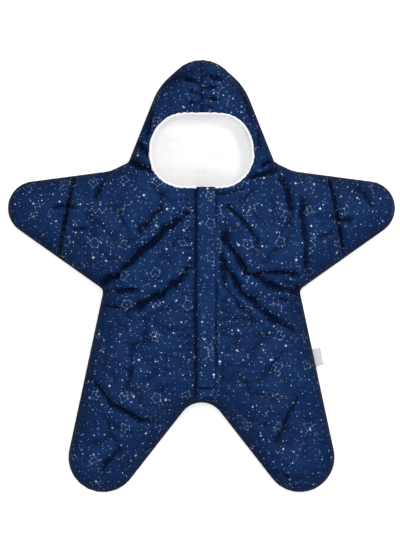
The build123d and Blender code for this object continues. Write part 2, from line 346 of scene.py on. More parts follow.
def vertex_normals(xyz, faces):
    a, b, c = (xyz[faces[:, i]] for i in range(3))
    cross = np.cross(b - a, c - a)
    normals = np.zeros_like(xyz)
    for i in range(3):
        np.add.at(normals, faces[:, i], cross)
    return normals / np.maximum(np.linalg.norm(normals, axis=1, keepdims=True), 1e-12)


# Creases in the front: the line each follows, its half width, and how deep it is pressed
TORSO_FOLDS = [
    ([(-14, 118), (-62, 82), (-111, 38), (-150, 2), (-187, -22), (-214, -42)], 7, 9.5),
    ([(-12, 28), (-36, -4), (-66, -27), (-129, -63)], 6.5, 7.0),
    ([(-205, -36), (-183, -18), (-170, -8), (-150, 4)], 4, 9.0),
    ([(-210, -30), (-183, -27), (-146, -26), (-110, -21)], 4, 7.0),
    ([(-205, -30), (-184, -45), (-166, -52), (-140, -54)], 3.5, 5.0),
    ([(-60, 130), (-96, 96), (-120, 76)], 9, 3.5),
    ([(28, 92), (52, 48), (79, 9), (124, -17), (178, -31), (214, -44)], 6.5, 9.5),
    ([(28, 63), (46, 14), (70, -27), (124, -72), (178, -103)], 6, 7.5),
    ([(28, 34), (44, -16), (66, -50), (84, -70)], 5, 4.0),
    ([(40, 128), (66, 104), (96, 66), (104, 52)], 5, 4.0),
    ([(96, 4), (134, 6), (178, 0)], 4.5, 6.0),
    ([(134, -6), (160, -14), (181, -25), (208, -38)], 3.5, 7.0),
    ([(124, -36), (150, -43), (178, -45), (206, -40)], 4, 6.0),
    ([(27, 146), (52, 148), (78, 158)], 3.5, 4.5),
    ([(-215, -157), (-186, -192), (-156, -225), (-112, -250), (-66, -261)], 7, 5.5),
    ([(114, -342), (138, -347), (160, -360)], 4, 4.0),
    ([(172, -210), (150, -250), (128, -300)], 12, 3.0),
    ([(-140, -300), (-168, -330), (-180, -360)], 8, 2.6),
]
NECK_FOLDS = [
    ([(-118, 243), (-100, 220), (-82, 197)], 4.6, 11.0),
    ([(-142, 212), (-112, 196), (-78, 182)], 5.2, 11.0),
    ([(136, 210), (120, 201), (102, 192)], 3.6, 9.5),
    ([(140, 193), (110, 180), (80, 171)], 5.0, 9.5),
    ([(-86, 298), (-93, 266), (-98, 240)], 4.0, 7.5),
    ([(62, 346), (82, 304), (96, 262)], 4.2, 6.5),
    ([(102, 262), (104, 240), (104, 220)], 4.2, 8.0),
    ([(-78, 330), (-48, 350), (-8, 362)], 15, 5.0),
]
HOOD_TUCKS = [
    ([(4, 336), (-7, 340), (-18, 345), (-32, 350)], 3.6, 8.5),
    ([(-4, 352), (12, 354), (24, 350), (38, 346)], 3.8, 8.5),
    ([(-4, 328), (9, 331), (26, 335)], 3.4, 8.0),
    ([(4, 318), (-10, 322), (-24, 328)], 3.2, 6.0),
    ([(-4, 317), (12, 314), (28, 309)], 3.2, 6.5),
    ([(-4, 301), (10, 298), (23, 293)], 3.0, 5.0),
    ([(4, 305), (-11, 305), (-24, 301)], 3.0, 5.0),
]
LINING_FOLDS = [
    ([(-84, 226), (-66, 236), (-40, 240)], 4, 3.0), ([(-60, 266), (0, 258), (60, 268)], 7, 3.5),
    ([(70, 200), (40, 206), (10, 204)], 6, 2.5),
]
SLEEVE_FOLDS = [
    ([(-161, 190), (-178, 163), (-190, 134)], 5, 5.5),
    ([(134, 186), (150, 150), (160, 108)], 6, 7.5),
    ([(174, 145), (182, 62), (187, -14)], 6, 6.5),
    ([(267, 163), (288, 146), (303, 117)], 5, 5.5),
    ([(-222, 120), (-238, 125), (-262, 120)], 4.5, 4.5),
    ([(226, 106), (242, 102), (268, 95)], 4.5, 4.5),
    ([(236, 80), (222, 72), (205, 70)], 4, 3.0),
    ([(-240, 90), (-224, 84), (-206, 86)], 4, 3.0),
]


def fold_depth(plan, folds):
    """Depth pressed into the front by creases: a valley with a low ridge on each side, fading out at its ends."""
    depth = np.zeros(len(plan))
    for line, width, deep in folds:
        line = np.array(line, float)
        distance, along, _ = nearest(plan, line)
        length = np.linalg.norm(np.diff(line, axis=0), axis=1).sum()
        fade = smooth(np.minimum(along, length - along) / (0.24 * length) + 0.2)
        valley = np.exp(-(distance / width) ** 1.5)
        ridge = np.exp(-((distance - 2.3 * width) / (1.3 * width)) ** 2)
        depth += deep * fade * (valley - 0.36 * ridge)
    return depth


def seam_groove(plan, line, width, deep, ripple=0.0, pitch=11.0, reach=9.0, closed=False):
    """Depth of a stitched seam: a narrow valley, with gathers that run across it."""
    line = np.array(line, float)
    distance, along, side = nearest(plan, line, closed)
    wave = np.sin(2 * math.pi * along / pitch + 1.9 * np.sin(along / 23.0) + side * 0.9)
    gathers = ripple * wave * np.exp(-(distance / reach) ** 2)
    depth = deep * np.exp(-(distance / width) ** 2) + gathers
    if not closed:
        length = np.linalg.norm(np.diff(line, axis=0), axis=1).sum()
        depth = depth * smooth(np.minimum(along, length - along) / 12 + 0.3)
    return depth


def lumps(plan, scale, seed):
    """Smooth noise over the plan, about -1 to 1."""
    shift = Vector((seed * 17.3, seed * 5.1, seed * 9.7))
    return np.array([noise.noise(Vector((x / scale, y / scale, 0)) + shift) for x, y in plan]) * 1.8


def front_depth(plan, edge):
    """How far each point of the front is pressed in by its creases, seams and gathers."""
    slits = [SLIT, mirrored(SLIT)]
    oval_gap = nearest(plan, oval_loop(3.0), closed=True)[0]
    depth = fold_depth(plan, TORSO_FOLDS + NECK_FOLDS + HOOD_TUCKS + SLEEVE_FOLDS) * smooth((oval_gap + 1) / 10)
    depth = np.where(depth > 0, 10 * np.tanh(depth / 10), depth)
    depth += seam_groove(plan, HOOD_SEAM, 2.8, 7.5, 1.8, 13, 12)
    for slit in slits:
        depth += seam_groove(plan, slit, 4.2, 7.0, 1.3, 12, 12)
        depth += seam_groove(plan, slit, 14.0, 2.4)
    depth += seam_groove(plan, oval_loop(3.0, 0.0), 4.5, 2.6, 0.45, 12, 9, closed=True)
    placket = [(FLAP_X[0] - 2, 150), (FLAP_X[0] - 2, -208)]
    depth += seam_groove(plan, placket, 6.0, 2.4, 1.8, 13, 20)
    depth -= 1.6 * lumps(plan, 70, 1) + 0.9 * lumps(plan, 26, 2)
    by_zip = smooth((np.abs(plan[:, 0]) - 12) / 10)
    depth += 0.9 * smooth((32 - np.abs(plan[:, 0])) / 8) * (plan[:, 1] < 150)
    return by_zip * depth + (1 - by_zip) * np.clip(depth, -0.5, 2.6)


def edge_gathers(star, plan, edge):
    """Small gathers that run in from the edge seam."""
    _, along, _ = nearest(plan, star, closed=True)
    wave = np.sin(2 * math.pi * along / 15 + 2.6 * np.sin(along / 41) + 1.7 * np.sin(along / 97))
    strength = 0.5 + 0.5 * np.sin(along / 63 + 1.0)
    return 1.7 * wave * strength * np.exp(-((edge - 6) / 12) ** 2) * smooth(edge / 3)


class Cloth:
    """One cloth of the bag, front and back, as a mesh whose front and back share the edge seam."""

    def __init__(self, plan, faces, front, back, rim):
        count = len(plan)
        faces = faces[~rim[faces].all(axis=1)]
        back_id = np.arange(count)
        back_id[~rim] = count + np.arange((~rim).sum())
        centre = plan[faces].mean(axis=1)
        regions = region_of(centre, True)
        shown = regions != REGIONS.index("open")
        self.xyz = np.concatenate([np.column_stack([plan, front]), np.column_stack([plan, back])[~rim]])
        self.plan = np.concatenate([plan, plan[~rim]])
        self.is_front = np.concatenate([np.ones(count, bool), np.zeros((~rim).sum(), bool)])
        self.faces = np.concatenate([faces[shown], back_id[faces][:, ::-1]])
        self.region = np.concatenate([regions[shown], region_of(centre, False)])
        self.back = np.concatenate([np.zeros(shown.sum(), bool), np.ones(len(faces), bool)])
        self.centre = np.concatenate([centre[shown], centre])

    def steady(self, normals):
        """Beside the edge seam, where faces are too thin to trust, normals point straight out of the bag."""
        normals[self.by_seam] = self.outward[self.by_seam]
        return normals

    def settle(self):
        self.normals = self.steady(vertex_normals(self.xyz, self.faces))


def outer_cloth(plan, faces, star):
    """The printed cotton, puffed up between its seams and creased."""
    edge = nearest(plan, star, closed=True)[0]
    rim = edge < 0.2
    limb = smooth((np.abs(plan[:, 0]) - 150) / 120) + smooth((-180 - plan[:, 1]) / 120)
    top = TOP_Z - 6 * np.clip(limb, 0, 1)
    rise = top - SEAM_Z
    front = SEAM_Z + rise * roll_height(edge, ROLL, 2.15)
    soft = smooth((edge - 14) / 14) * smooth((np.abs(plan[:, 0]) - 12) / 20)
    front = relax(front, faces, 40, soft)
    back = SEAM_Z * (1 - roll_height(edge, BACK_ROLL, 2.0))
    cloth = Cloth(plan, faces, front, back, rim)
    outward = towards(plan, star)
    by_seam, flat = edge < 1.0, np.column_stack([outward, np.zeros(len(plan))])
    cloth.by_seam = np.concatenate([by_seam, by_seam[~rim]])
    cloth.outward = np.concatenate([flat, flat[~rim]])
    cloth.settle()
    fade = smooth(edge / np.where(plan[:, 1] > 300, 18, 8))
    depth = front_depth(plan, edge) * fade + edge_gathers(star, plan, edge)
    count = len(plan)
    cloth.xyz[:count] -= cloth.normals[:count] * depth[:, None]
    cloth.xyz[:count, :2] -= outward * 1.3 * rim[:, None]
    front_shift = outward * roll_excess(edge, ROLL, TOP_Z - SEAM_Z, 2.15)[:, None]
    back_shift = outward * roll_excess(edge, BACK_ROLL, SEAM_Z, 2.0)[:, None]
    cloth.front_shift = np.concatenate([front_shift, front_shift[~rim]])
    cloth.back_shift = np.concatenate([back_shift, back_shift[~rim]])
    cloth.settle()
    return cloth


def crumple(outer, star):
    """Lets the front cloth buckle: slightly too much cloth, puffed from below and held along its seams."""
    front_faces = outer.faces[~outer.back]
    used, faces = np.unique(front_faces, return_inverse=True)
    faces = faces.reshape(-1, 3)
    plan, start = outer.plan[used], outer.xyz[used]
    mesh = bpy.data.meshes.new("front_cloth")
    mesh.from_pydata((start * MM).tolist(), [], faces.tolist())
    obj = bpy.data.objects.new("front_cloth", mesh)
    bpy.context.scene.collection.objects.link(obj)
    hold = nearest(plan, star, closed=True)[0] * 0.22
    for line in (SLIT, mirrored(SLIT), HOOD_SEAM):
        hold = np.minimum(hold, nearest(plan, np.array(line, float))[0])
    hold = np.minimum(hold, nearest(plan, oval_loop(3.0), closed=True)[0])
    hold = np.minimum(hold, np.maximum(np.abs(plan[:, 0]) - 24, 0) + 400 * (plan[:, 1] > 186))
    weight = np.clip(np.exp(-(hold / 5.0) ** 2), 0.035, 1)
    group = obj.vertex_groups.new(name="hold")
    for i, w in enumerate(weight):
        group.add([i], float(w), "REPLACE")
    modifier = obj.modifiers.new("cloth", "CLOTH")
    cloth = modifier.settings
    cloth.quality = 6
    cloth.mass = 0.15
    cloth.tension_stiffness = cloth.compression_stiffness = 18
    cloth.shear_stiffness = 6
    cloth.bending_stiffness = 0.35
    cloth.tension_damping = cloth.compression_damping = cloth.shear_damping = 12
    cloth.air_damping = 4
    cloth.shrink_min = cloth.shrink_max = -0.035
    cloth.use_pressure = True
    cloth.uniform_pressure_force = 0.9
    cloth.effector_weights.gravity = 0.0
    cloth.vertex_group_mass = "hold"
    cloth.pin_stiffness = 1.0
    modifier.collision_settings.use_collision = False
    frames = 18
    modifier.point_cache.frame_start, modifier.point_cache.frame_end = 1, frames
    scene = bpy.context.scene
    for number in range(1, frames + 1):
        scene.frame_set(number)
    settled = obj.evaluated_get(bpy.context.evaluated_depsgraph_get()).to_mesh()
    moved = np.zeros(len(used) * 3, np.float32)
    settled.vertices.foreach_get("co", moved)
    scene.frame_set(1)
    bpy.data.objects.remove(obj)
    change = moved.reshape(-1, 3) / MM - start
    size = np.linalg.norm(change, axis=1, keepdims=True)
    print("cloth moved: mean", round(float(size.mean()), 2), "most", round(float(size.max()), 2))
    swell = np.column_stack([relax(change[:, axis], faces, 50, 1.0) for axis in range(3)])
    edge = nearest(plan, star, closed=True)[0]
    change = (change - 0.85 * swell) * smooth(edge / 50)[:, None]
    size = np.linalg.norm(change, axis=1, keepdims=True)
    outer.xyz[used] += change * np.minimum(1, 6 / np.maximum(size, 1e-6))
    outer.settle()


def soften(cloth, rounds):
    """The cloth's vertices with small creases smoothed away, and how far each real vertex is pressed in below that."""
    edges = edges_of(cloth.faces)
    count = np.maximum(np.bincount(edges.ravel(), minlength=len(cloth.xyz)), 1)[:, None]
    xyz = cloth.xyz.copy()
    for _ in range(rounds):
        total = np.zeros_like(xyz)
        for axis in range(3):
            total[:, axis] = np.bincount(edges[:, 0], xyz[edges[:, 1], axis], len(xyz))
            total[:, axis] += np.bincount(edges[:, 1], xyz[edges[:, 0], axis], len(xyz))
        xyz += 0.6 * (total / count - xyz)
    normals = cloth.steady(vertex_normals(xyz, cloth.faces))
    return xyz, normals, ((xyz - cloth.xyz) * normals).sum(axis=1)


def lining_cloth(outer, soft, soft_normals, pressed):
    """The white cotton inside, a wall's thickness in from the printed cotton, facing the wearer."""
    cloth = copy.copy(outer)
    x, y = outer.plan[:, 0], outer.plan[:, 1]
    cloth.xyz = soft - soft_normals * (2 * HALF_WALL + 1.2 * np.clip(pressed, 0, 9))[:, None]
    back = ~outer.is_front
    hood = np.exp(-((x / 84) ** 4 + ((y - 230) / 66) ** 4))
    creases = fold_depth(outer.plan, LINING_FOLDS)
    cloth.xyz[back, 2] += (hood * (35 - creases) + 1.5 * lumps(outer.plan, 40, 5) * (hood + 0.2))[back]
    cloth.faces = outer.faces[:, ::-1]
    cloth.outward = -outer.outward
    cloth.front_shift = cloth.back_shift = np.zeros((len(cloth.xyz), 2))
    cloth.settle()
    return cloth


# --------------------------------------------------------------------------------------------------- building the mesh


def make_object(name, verts, faces, material, uvs=None, normals=None):
    """A mesh object in metres. uvs and normals hold one row for each face corner."""
    mesh = bpy.data.meshes.new(name)
    mesh.from_pydata((np.asarray(verts) * MM).tolist(), [], [list(map(int, f)) for f in faces])
    mesh.polygons.foreach_set("use_smooth", [True] * len(mesh.polygons))
    if uvs is not None:
        layer = mesh.uv_layers.new(name="rest")
        layer.uv.foreach_set("vector", (np.asarray(uvs) * MM).astype(np.float32).ravel())
    mesh.materials.append(material)
    mesh.validate(clean_customdata=False)
    if normals is not None:
        mesh.normals_split_custom_set(np.asarray(normals).tolist())
    obj = bpy.data.objects.new(name, mesh)
    bpy.context.scene.collection.objects.link(obj)
    return obj


def add_crease(obj, values):
    """Stores the painted shade of each vertex: how far the print is darkened in creases, along seams and near the edge.
    """
    layer = obj.data.attributes.new("crease", "FLOAT", "POINT")
    layer.data.foreach_set("value", np.asarray(values, np.float32))


def shell(name, cloth, mask, thickness, material):
    """A closed piece of cloth: the faces picked by mask, a copy sunk below them, and a rim between the two."""
    picked = cloth.faces[mask]
    back = cloth.back[mask]
    used, faces = np.unique(picked, return_inverse=True)
    faces = faces.reshape(-1, 3)
    top, normal = cloth.xyz[used], cloth.normals[used]
    count = len(used)
    sunk = top - normal * thickness
    edges = np.concatenate([faces[:, [0, 1]], faces[:, [1, 2]], faces[:, [2, 0]]])
    owner = np.tile(np.arange(len(faces)), 3)
    key = edges.min(axis=1).astype(np.int64) * count + edges.max(axis=1)
    _, first, times = np.unique(key, return_index=True, return_counts=True)
    border, border_owner = edges[first[times == 1]], owner[first[times == 1]]
    rim = np.column_stack([border[:, 1], border[:, 0], border[:, 0] + count, border[:, 1] + count])
    everything = [*faces, *(faces[:, ::-1] + count), *rim]
    side = np.where(back[:, None, None], cloth.back_shift[used][faces], cloth.front_shift[used][faces])
    flat = cloth.plan[used][faces]
    corner_uv = np.where(back[:, None, None], (flat + side) * [-1, 1] + [900, 0], flat + side)
    rim_uv = cloth.plan[used][rim % count] + np.where(back[border_owner], 900, 0)[:, None, None]
    rim_run = top[border[:, 1]] - top[border[:, 0]]
    rim_normal = np.cross(rim_run, normal[border].mean(axis=1))
    rim_normal /= np.maximum(np.linalg.norm(rim_normal, axis=1, keepdims=True), 1e-9)
    uvs = np.concatenate([corner_uv.reshape(-1, 2), corner_uv[:, ::-1].reshape(-1, 2), rim_uv.reshape(-1, 2)])
    normals = np.concatenate([
        normal[faces].reshape(-1, 3), -normal[faces[:, ::-1]].reshape(-1, 3), np.repeat(rim_normal, 4, axis=0),
    ])
    obj = make_object(name, np.concatenate([top, sunk]), everything, material, uvs, normals)
    # Both faces of the shell carry the cloth's painted shade.
    add_crease(obj, np.tile(cloth.crease[used], 2))
    return obj


# ----------------------------------------------------------------------------------------------------------- materials


class Nodes:
    """A short way to write a material's node tree."""

    def __init__(self, name):
        self.material = bpy.data.materials.new(name)
        self.material.use_nodes = True
        self.tree = self.material.node_tree
        self.shader = self.tree.nodes["Principled BSDF"]

    def add(self, kind, inputs=None, out=0, **settings):
        node = self.tree.nodes.new(kind)
        for key, value in settings.items():
            setattr(node, key, value)
        for key, value in (inputs or {}).items():
            self.put(node.inputs[key], value)
        return node.outputs[out]

    def put(self, socket, value):
        if isinstance(value, bpy.types.NodeSocket):
            self.tree.links.new(value, socket)
        else:
            socket.default_value = value

    def math(self, operation, a, b=0.0, c=0.0, clamp=False):
        return self.add("ShaderNodeMath", {0: a, 1: b, 2: c}, operation=operation, use_clamp=clamp)

    def vector(self, operation, a, b=(0, 0, 0), scale=None):
        inputs = {0: a, 1: b}
        if scale is not None:
            inputs["Scale"] = scale
        out = 1 if operation in ("DOT_PRODUCT", "LENGTH", "DISTANCE") else 0
        return self.add("ShaderNodeVectorMath", inputs, out, operation=operation)

    def ramp(self, value, low, high, from_zero=0.0, to_one=1.0):
        """Smoothly from from_zero at low to to_one at high."""
        inputs = {"Value": value, "From Min": low, "From Max": high, "To Min": from_zero, "To Max": to_one}
        return self.add("ShaderNodeMapRange", inputs, interpolation_type="SMOOTHSTEP")

    def mix(self, factor, a, b):
        node = self.tree.nodes.new("ShaderNodeMix")
        node.data_type = "RGBA"
        self.put(node.inputs[0], factor)
        self.put(node.inputs[6], a)
        self.put(node.inputs[7], b)
        return node.outputs[2]

    def separate(self, vector):
        node = self.tree.nodes.new("ShaderNodeSeparateXYZ")
        self.put(node.inputs[0], vector)
        return node.outputs

    def combine(self, x, y, z=0.0):
        return self.add("ShaderNodeCombineXYZ", {0: x, 1: y, 2: z})

    def noise(self, position, scale, detail=2.0, out=0):
        return self.add("ShaderNodeTexNoise", {"Vector": position, "Scale": scale, "Detail": detail}, out)

    def bump(self, height, distance, strength=1.0, normal=None):
        inputs = {"Height": height, "Distance": distance, "Strength": strength}
        if normal is not None:
            inputs["Normal"] = normal
        return self.add("ShaderNodeBump", inputs)

    def surface(self, **inputs):
        for key, value in inputs.items():
            self.put(self.shader.inputs[key.replace("_", " ")], value)
        return self.material


def plan_position(n):
    """The place on the flat cloth, in millimetres, which stays put when the bag moves."""
    uv = n.add("ShaderNodeUVMap", uv_map="rest")
    return n.vector("SCALE", uv, scale=1000.0)


def weave(n, position, pitch):
    """Height of a plain weave, 0 to 1."""
    x, y, _ = n.separate(n.vector("SCALE", position, scale=2 * math.pi / pitch))
    across = n.math("SINE", x)
    down = n.math("SINE", y)
    return n.math("MULTIPLY_ADD", n.math("MULTIPLY", across, down), 0.5, 0.5)


def scattered(n, position, cell, seed):
    """A Voronoi scatter in cells of the given size: distance to the nearest mark in mm, its offset, and its colour."""
    moved = n.vector("ADD", position, (seed * 37.7, seed * 91.3, 0))
    scaled = n.vector("SCALE", moved, scale=1 / cell)
    node = n.tree.nodes.new("ShaderNodeTexVoronoi")
    node.voronoi_dimensions = "2D"
    n.put(node.inputs["Vector"], scaled)
    n.put(node.inputs["Scale"], 1.0)
    distance = n.math("MULTIPLY", node.outputs["Distance"], cell)
    offset = n.vector("SCALE", n.vector("SUBTRACT", scaled, node.outputs["Position"]), scale=cell)
    return distance, offset, n.separate(node.outputs["Color"])


def dots(n, position, cell, seed, small, large, share, soft):
    """Round spots of random size in a share of the cells."""
    distance, _, (r, g, _) = scattered(n, position, cell, seed)
    radius = n.ramp(r, 0, 1, small, large)
    spot = n.ramp(n.math("SUBTRACT", distance, radius), -soft, soft, 1.0, 0.0)
    return n.math("MULTIPLY", spot, n.math("LESS_THAN", g, share))


def sparkles(n, position, cell, seed, size, share):
    """Four-pointed stars."""
    _, offset, (r, g, _) = scattered(n, position, cell, seed)
    x, y, _ = n.separate(offset)
    reach = n.math("MULTIPLY", n.math("MULTIPLY_ADD", r, 0.6, 0.7), size)
    roots = [n.math("POWER", n.math("ABSOLUTE", v), 0.55) for v in (x, y)]
    spread = n.math("ADD", *roots)
    shape = n.ramp(n.math("SUBTRACT", spread, n.math("POWER", reach, 0.55)), -0.12, 0.12, 1.0, 0.0)
    return n.math("MULTIPLY", shape, n.math("LESS_THAN", g, share))


def rings(n, position, cell, seed, radius, width, share):
    distance, _, (_, g, _) = scattered(n, position, cell, seed)
    gap = n.math("ABSOLUTE", n.math("SUBTRACT", distance, radius))
    line = n.ramp(gap, width * 0.5, width, 1.0, 0.0)
    return n.math("MULTIPLY", line, n.math("LESS_THAN", g, share))


# Constellations, as paths of seven stars in mm: a kite with a tail, a heart, a pentagon on a stalk, and a zigzag
CONSTELLATIONS = [
    [(0, -5), (-5, 3), (0, 11), (6, 3), (0, -5), (3, -11), (-2, -17)],
    [(0, -9), (-8, 1), (-5, 7), (0, 3), (5, 7), (8, 1), (0, -9)],
    [(-6, -6), (6, -5), (9, 4), (0, 10), (-8, 4), (-6, -6), (-12, -10)],
    [(-17, -4), (-11, 4), (-5, -3), (1, 5), (8, -2), (12, 3), (18, -1)],
]


def constellations(n, position, cell, seed):
    """Thin lines joining stars: one constellation for each cell, turned and moved at random."""
    moved = n.vector("SCALE", n.vector("ADD", position, (seed * 53.1, seed * 19.9, 0)), scale=1 / cell)
    corner = n.vector("FLOOR", moved)
    chance = n.add("ShaderNodeTexWhiteNoise", {"Vector": corner}, 1, noise_dimensions="2D")
    r, g, b = n.separate(chance)
    shift = n.vector("SCALE", n.vector("SUBTRACT", chance, (0.5, 0.5, 0.5)), scale=0.22)
    local = n.vector("SUBTRACT", n.vector("SUBTRACT", moved, corner), (0.5, 0.5, 0))
    local = n.vector("SCALE", n.vector("SUBTRACT", local, shift), scale=cell)
    angle = n.math("MULTIPLY", b, 2 * math.pi)
    local = n.add("ShaderNodeVectorRotate", {"Vector": local, "Angle": angle}, rotation_type="Z_AXIS")
    local = n.vector("MULTIPLY", local, (1, 1, 0))
    pick = [n.math("GREATER_THAN", r, 0.25 * k) for k in (1, 2, 3)]
    stars = []
    for k in range(7):
        place = (*CONSTELLATIONS[0][k], 0)
        for chosen, path in zip(pick, CONSTELLATIONS[1:]):
            node = n.tree.nodes.new("ShaderNodeMix")
            node.data_type = "VECTOR"
            n.put(node.inputs[0], chosen)
            n.put(node.inputs[4], place)
            n.put(node.inputs[5], (*path[k], 0))
            place = node.outputs[1]
        stars.append(place)
    line = star = None
    for k, (a, b_) in enumerate(zip(stars, stars[1:])):
        from_a, run = n.vector("SUBTRACT", local, a), n.vector("SUBTRACT", b_, a)
        share = n.math("DIVIDE", n.vector("DOT_PRODUCT", from_a, run), n.vector("DOT_PRODUCT", run, run), clamp=True)
        gap = n.vector("LENGTH", n.vector("SUBTRACT", from_a, n.vector("SCALE", run, scale=share)))
        at_star = n.vector("DISTANCE", local, a)
        line = gap if line is None else n.math("MINIMUM", line, gap)
        star = at_star if star is None else n.math("MINIMUM", star, at_star)
    star = n.math("MINIMUM", star, n.vector("DISTANCE", local, stars[-1]))
    shown = n.math("LESS_THAN", g, 0.66)
    strokes = n.math("MULTIPLY", n.ramp(line, 0.22, 0.55, 1.0, 0.0), shown)
    points = n.math("MULTIPLY", n.ramp(star, 0.6, 1.0, 1.0, 0.0), shown)
    return strokes, points


def printed_cotton():
    """Navy cotton with a night-sky print, darkened by painted shade in its creases, along its seams and near its edge.
    """
    n = Nodes("printed_cotton")
    p = plan_position(n)
    mottle = n.noise(p, 0.02, 3.0)
    fibre = n.noise(p, 1.4, 2.0)
    navy = n.mix(n.ramp(mottle, 0.3, 0.7), (0.0042, 0.0195, 0.078, 1), (0.0062, 0.0262, 0.098, 1))
    navy = n.mix(n.math("MULTIPLY", fibre, 0.2), navy, (0.010, 0.032, 0.11, 1))
    white, pale = (0.58, 0.64, 0.74, 1), (0.12, 0.18, 0.31, 1)
    strokes, points = constellations(n, p, 54.0, 1)
    colour = n.mix(n.math("MULTIPLY", dots(n, p, 33, 2, 1.2, 2.2, 0.5, 0.7), 0.7), navy, pale)
    colour = n.mix(n.math("MULTIPLY", dots(n, p, 15, 7, 0.6, 1.2, 0.55, 0.4), 0.75), colour, pale)
    colour = n.mix(n.math("MULTIPLY", strokes, 0.75), colour, pale)
    colour = n.mix(n.math("MULTIPLY", dots(n, p, 8.5, 3, 0.15, 0.6, 0.8, 0.2), 0.68), colour, white)
    colour = n.mix(n.math("MULTIPLY", dots(n, p, 17.5, 5, 0.5, 1.1, 0.7, 0.25), 0.9), colour, white)
    colour = n.mix(n.math("MULTIPLY", rings(n, p, 74, 4, 2.4, 0.5, 0.5), 0.6), colour, pale)
    colour = n.mix(n.math("MULTIPLY", sparkles(n, p, 44, 6, 3.0, 0.7), 0.95), colour, white)
    colour = n.mix(n.math("MULTIPLY", points, 0.5), colour, white)
    # Painted shade: the stored per-vertex shade darkens the print towards near-black in its creases, along its seams
    # and near its edge seam.
    crease = n.add("ShaderNodeAttribute", out=2, attribute_name="crease")
    colour = n.mix(n.math("MULTIPLY", crease, 0.94), colour, (0.0004, 0.0014, 0.011, 1))
    height = weave(n, p, 0.62)
    normal = n.bump(height, 0.00012, 0.5)
    normal = n.bump(n.noise(p, 0.055, 4.0), 0.0022, 0.5, normal)
    n.surface(Base_Color=colour, Roughness=0.5, Sheen_Weight=0.03, Sheen_Roughness=0.4, Normal=normal)
    n.surface(Sheen_Tint=(0.12, 0.3, 1.0, 1), Specular_IOR_Level=0.07, Specular_Tint=(0.4, 0.6, 1.0, 1))
    return n.material


def plain_cloth(name, colour, shade, pitch, roughness=0.8, soft=0.0015):
    """An undyed or dyed woven cloth with slight unevenness."""
    n = Nodes(name)
    p = plan_position(n)
    mottle = n.ramp(n.noise(p, 0.03, 3.0), 0.3, 0.7)
    fibre = n.noise(p, 1.8, 2.0)
    tone = n.mix(mottle, (*colour, 1), (*shade, 1))
    tone = n.mix(n.math("MULTIPLY", fibre, 0.2), tone, (*shade, 1))
    normal = n.bump(weave(n, p, pitch), 0.00015, 0.5)
    normal = n.bump(n.noise(p, 0.06, 4.0), soft, 0.5, normal)
    n.surface(Base_Color=tone, Roughness=roughness, Sheen_Weight=0.25, Sheen_Roughness=0.5, Normal=normal)
    return n.material


def object_cloth(name, colour, shade, roughness=0.8):
    """Cloth or wadding for the pieces that carry no rest map."""
    n = Nodes(name)
    p = n.vector("SCALE", n.add("ShaderNodeTexCoord", out=3), scale=1000.0)
    tone = n.mix(n.ramp(n.noise(p, 0.5, 4.0), 0.3, 0.7), (*colour, 1), (*shade, 1))
    normal = n.bump(n.noise(p, 1.2, 4.0), 0.0003, 0.6)
    n.surface(Base_Color=tone, Roughness=roughness, Sheen_Weight=0.3, Normal=normal)
    return n.material


def plastic_and_metal(name, colour, shade, roughness, metallic):
    n = Nodes(name)
    p = n.vector("SCALE", n.add("ShaderNodeTexCoord", out=3), scale=1000.0)
    grain = n.noise(p, 0.9, 5.0)
    tone = n.mix(n.ramp(grain, 0.3, 0.7), (*colour, 1), (*shade, 1))
    rough = n.ramp(grain, 0.2, 0.8, roughness * 0.8, roughness * 1.2)
    n.surface(Base_Color=tone, Roughness=rough, Metallic=metallic, Normal=n.bump(grain, 0.00005, 0.4))
    n.surface(Specular_IOR_Level=0.05, Specular_Tint=(0.5, 0.7, 1.0, 1))
    return n.material


def floor_material():
    n = Nodes("paper")
    p = n.vector("SCALE", n.add("ShaderNodeTexCoord", out=3), scale=1000.0)
    grain = n.noise(p, 0.4, 3.0)
    seen = n.add("ShaderNodeLightPath", out=0)
    tone = n.mix(grain, (0.90, 0.90, 0.90, 1), (0.93, 0.93, 0.93, 1))
    tone = n.mix(seen, (0.30, 0.30, 0.30, 1), tone)
    n.surface(Base_Color=tone, Roughness=0.9, Specular_IOR_Level=0.1, Normal=n.bump(grain, 0.00002, 0.2))
    n.surface(Emission_Color=(1, 1, 1, 1), Emission_Strength=n.math("MULTIPLY", seen, 0.45))
    return n.material


PRINT = printed_cotton()
WHITE = plain_cloth("white_cotton", (0.64, 0.64, 0.65), (0.60, 0.60, 0.61), 0.7)
# Painted light: the lining glows a little, so that its shaded parts inside the hood stay bright.
WHITE.node_tree.nodes["Principled BSDF"].inputs["Emission Color"].default_value = (1, 1, 1, 1)
WHITE.node_tree.nodes["Principled BSDF"].inputs["Emission Strength"].default_value = 0.27
BINDING = plain_cloth("binding", (0.88, 0.88, 0.88), (0.82, 0.82, 0.84), 0.5, soft=0.0006)
NAVY_TAPE = object_cloth("zip_tape", (0.010, 0.026, 0.08), (0.016, 0.036, 0.10))
TEETH = plastic_and_metal("zip_teeth", (0.012, 0.028, 0.085), (0.02, 0.04, 0.11), 0.35, 0.0)
METAL = plastic_and_metal("zip_metal", (0.004, 0.004, 0.005), (0.008, 0.008, 0.010), 0.45, 0.0)
THREAD = object_cloth("thread", (0.012, 0.030, 0.095), (0.02, 0.045, 0.13), 0.6)
LABEL = object_cloth("woven_label", (0.66, 0.66, 0.67), (0.56, 0.56, 0.58))
ELASTIC = object_cloth("elastic", (0.80, 0.80, 0.80), (0.70, 0.70, 0.72))


# ------------------------------------------------------------------------------------------------- pieces and movement


def point3(xy, z=TOP_Z):
    return Vector((xy[0], xy[1], z)) * MM


def across(a, b, reach, flip):
    """Start and end points for a bend that begins at the line from a to b and ends reach mm on its left."""
    a, b = np.array(a, float), np.array(b, float)
    run = (b - a) / np.linalg.norm(b - a)
    middle = (a + b) / 2
    side = np.array([-run[1], run[0]]) * reach
    mirror = np.array([-1 if flip else 1, 1])
    return point3(middle * mirror), point3((middle + side) * mirror)


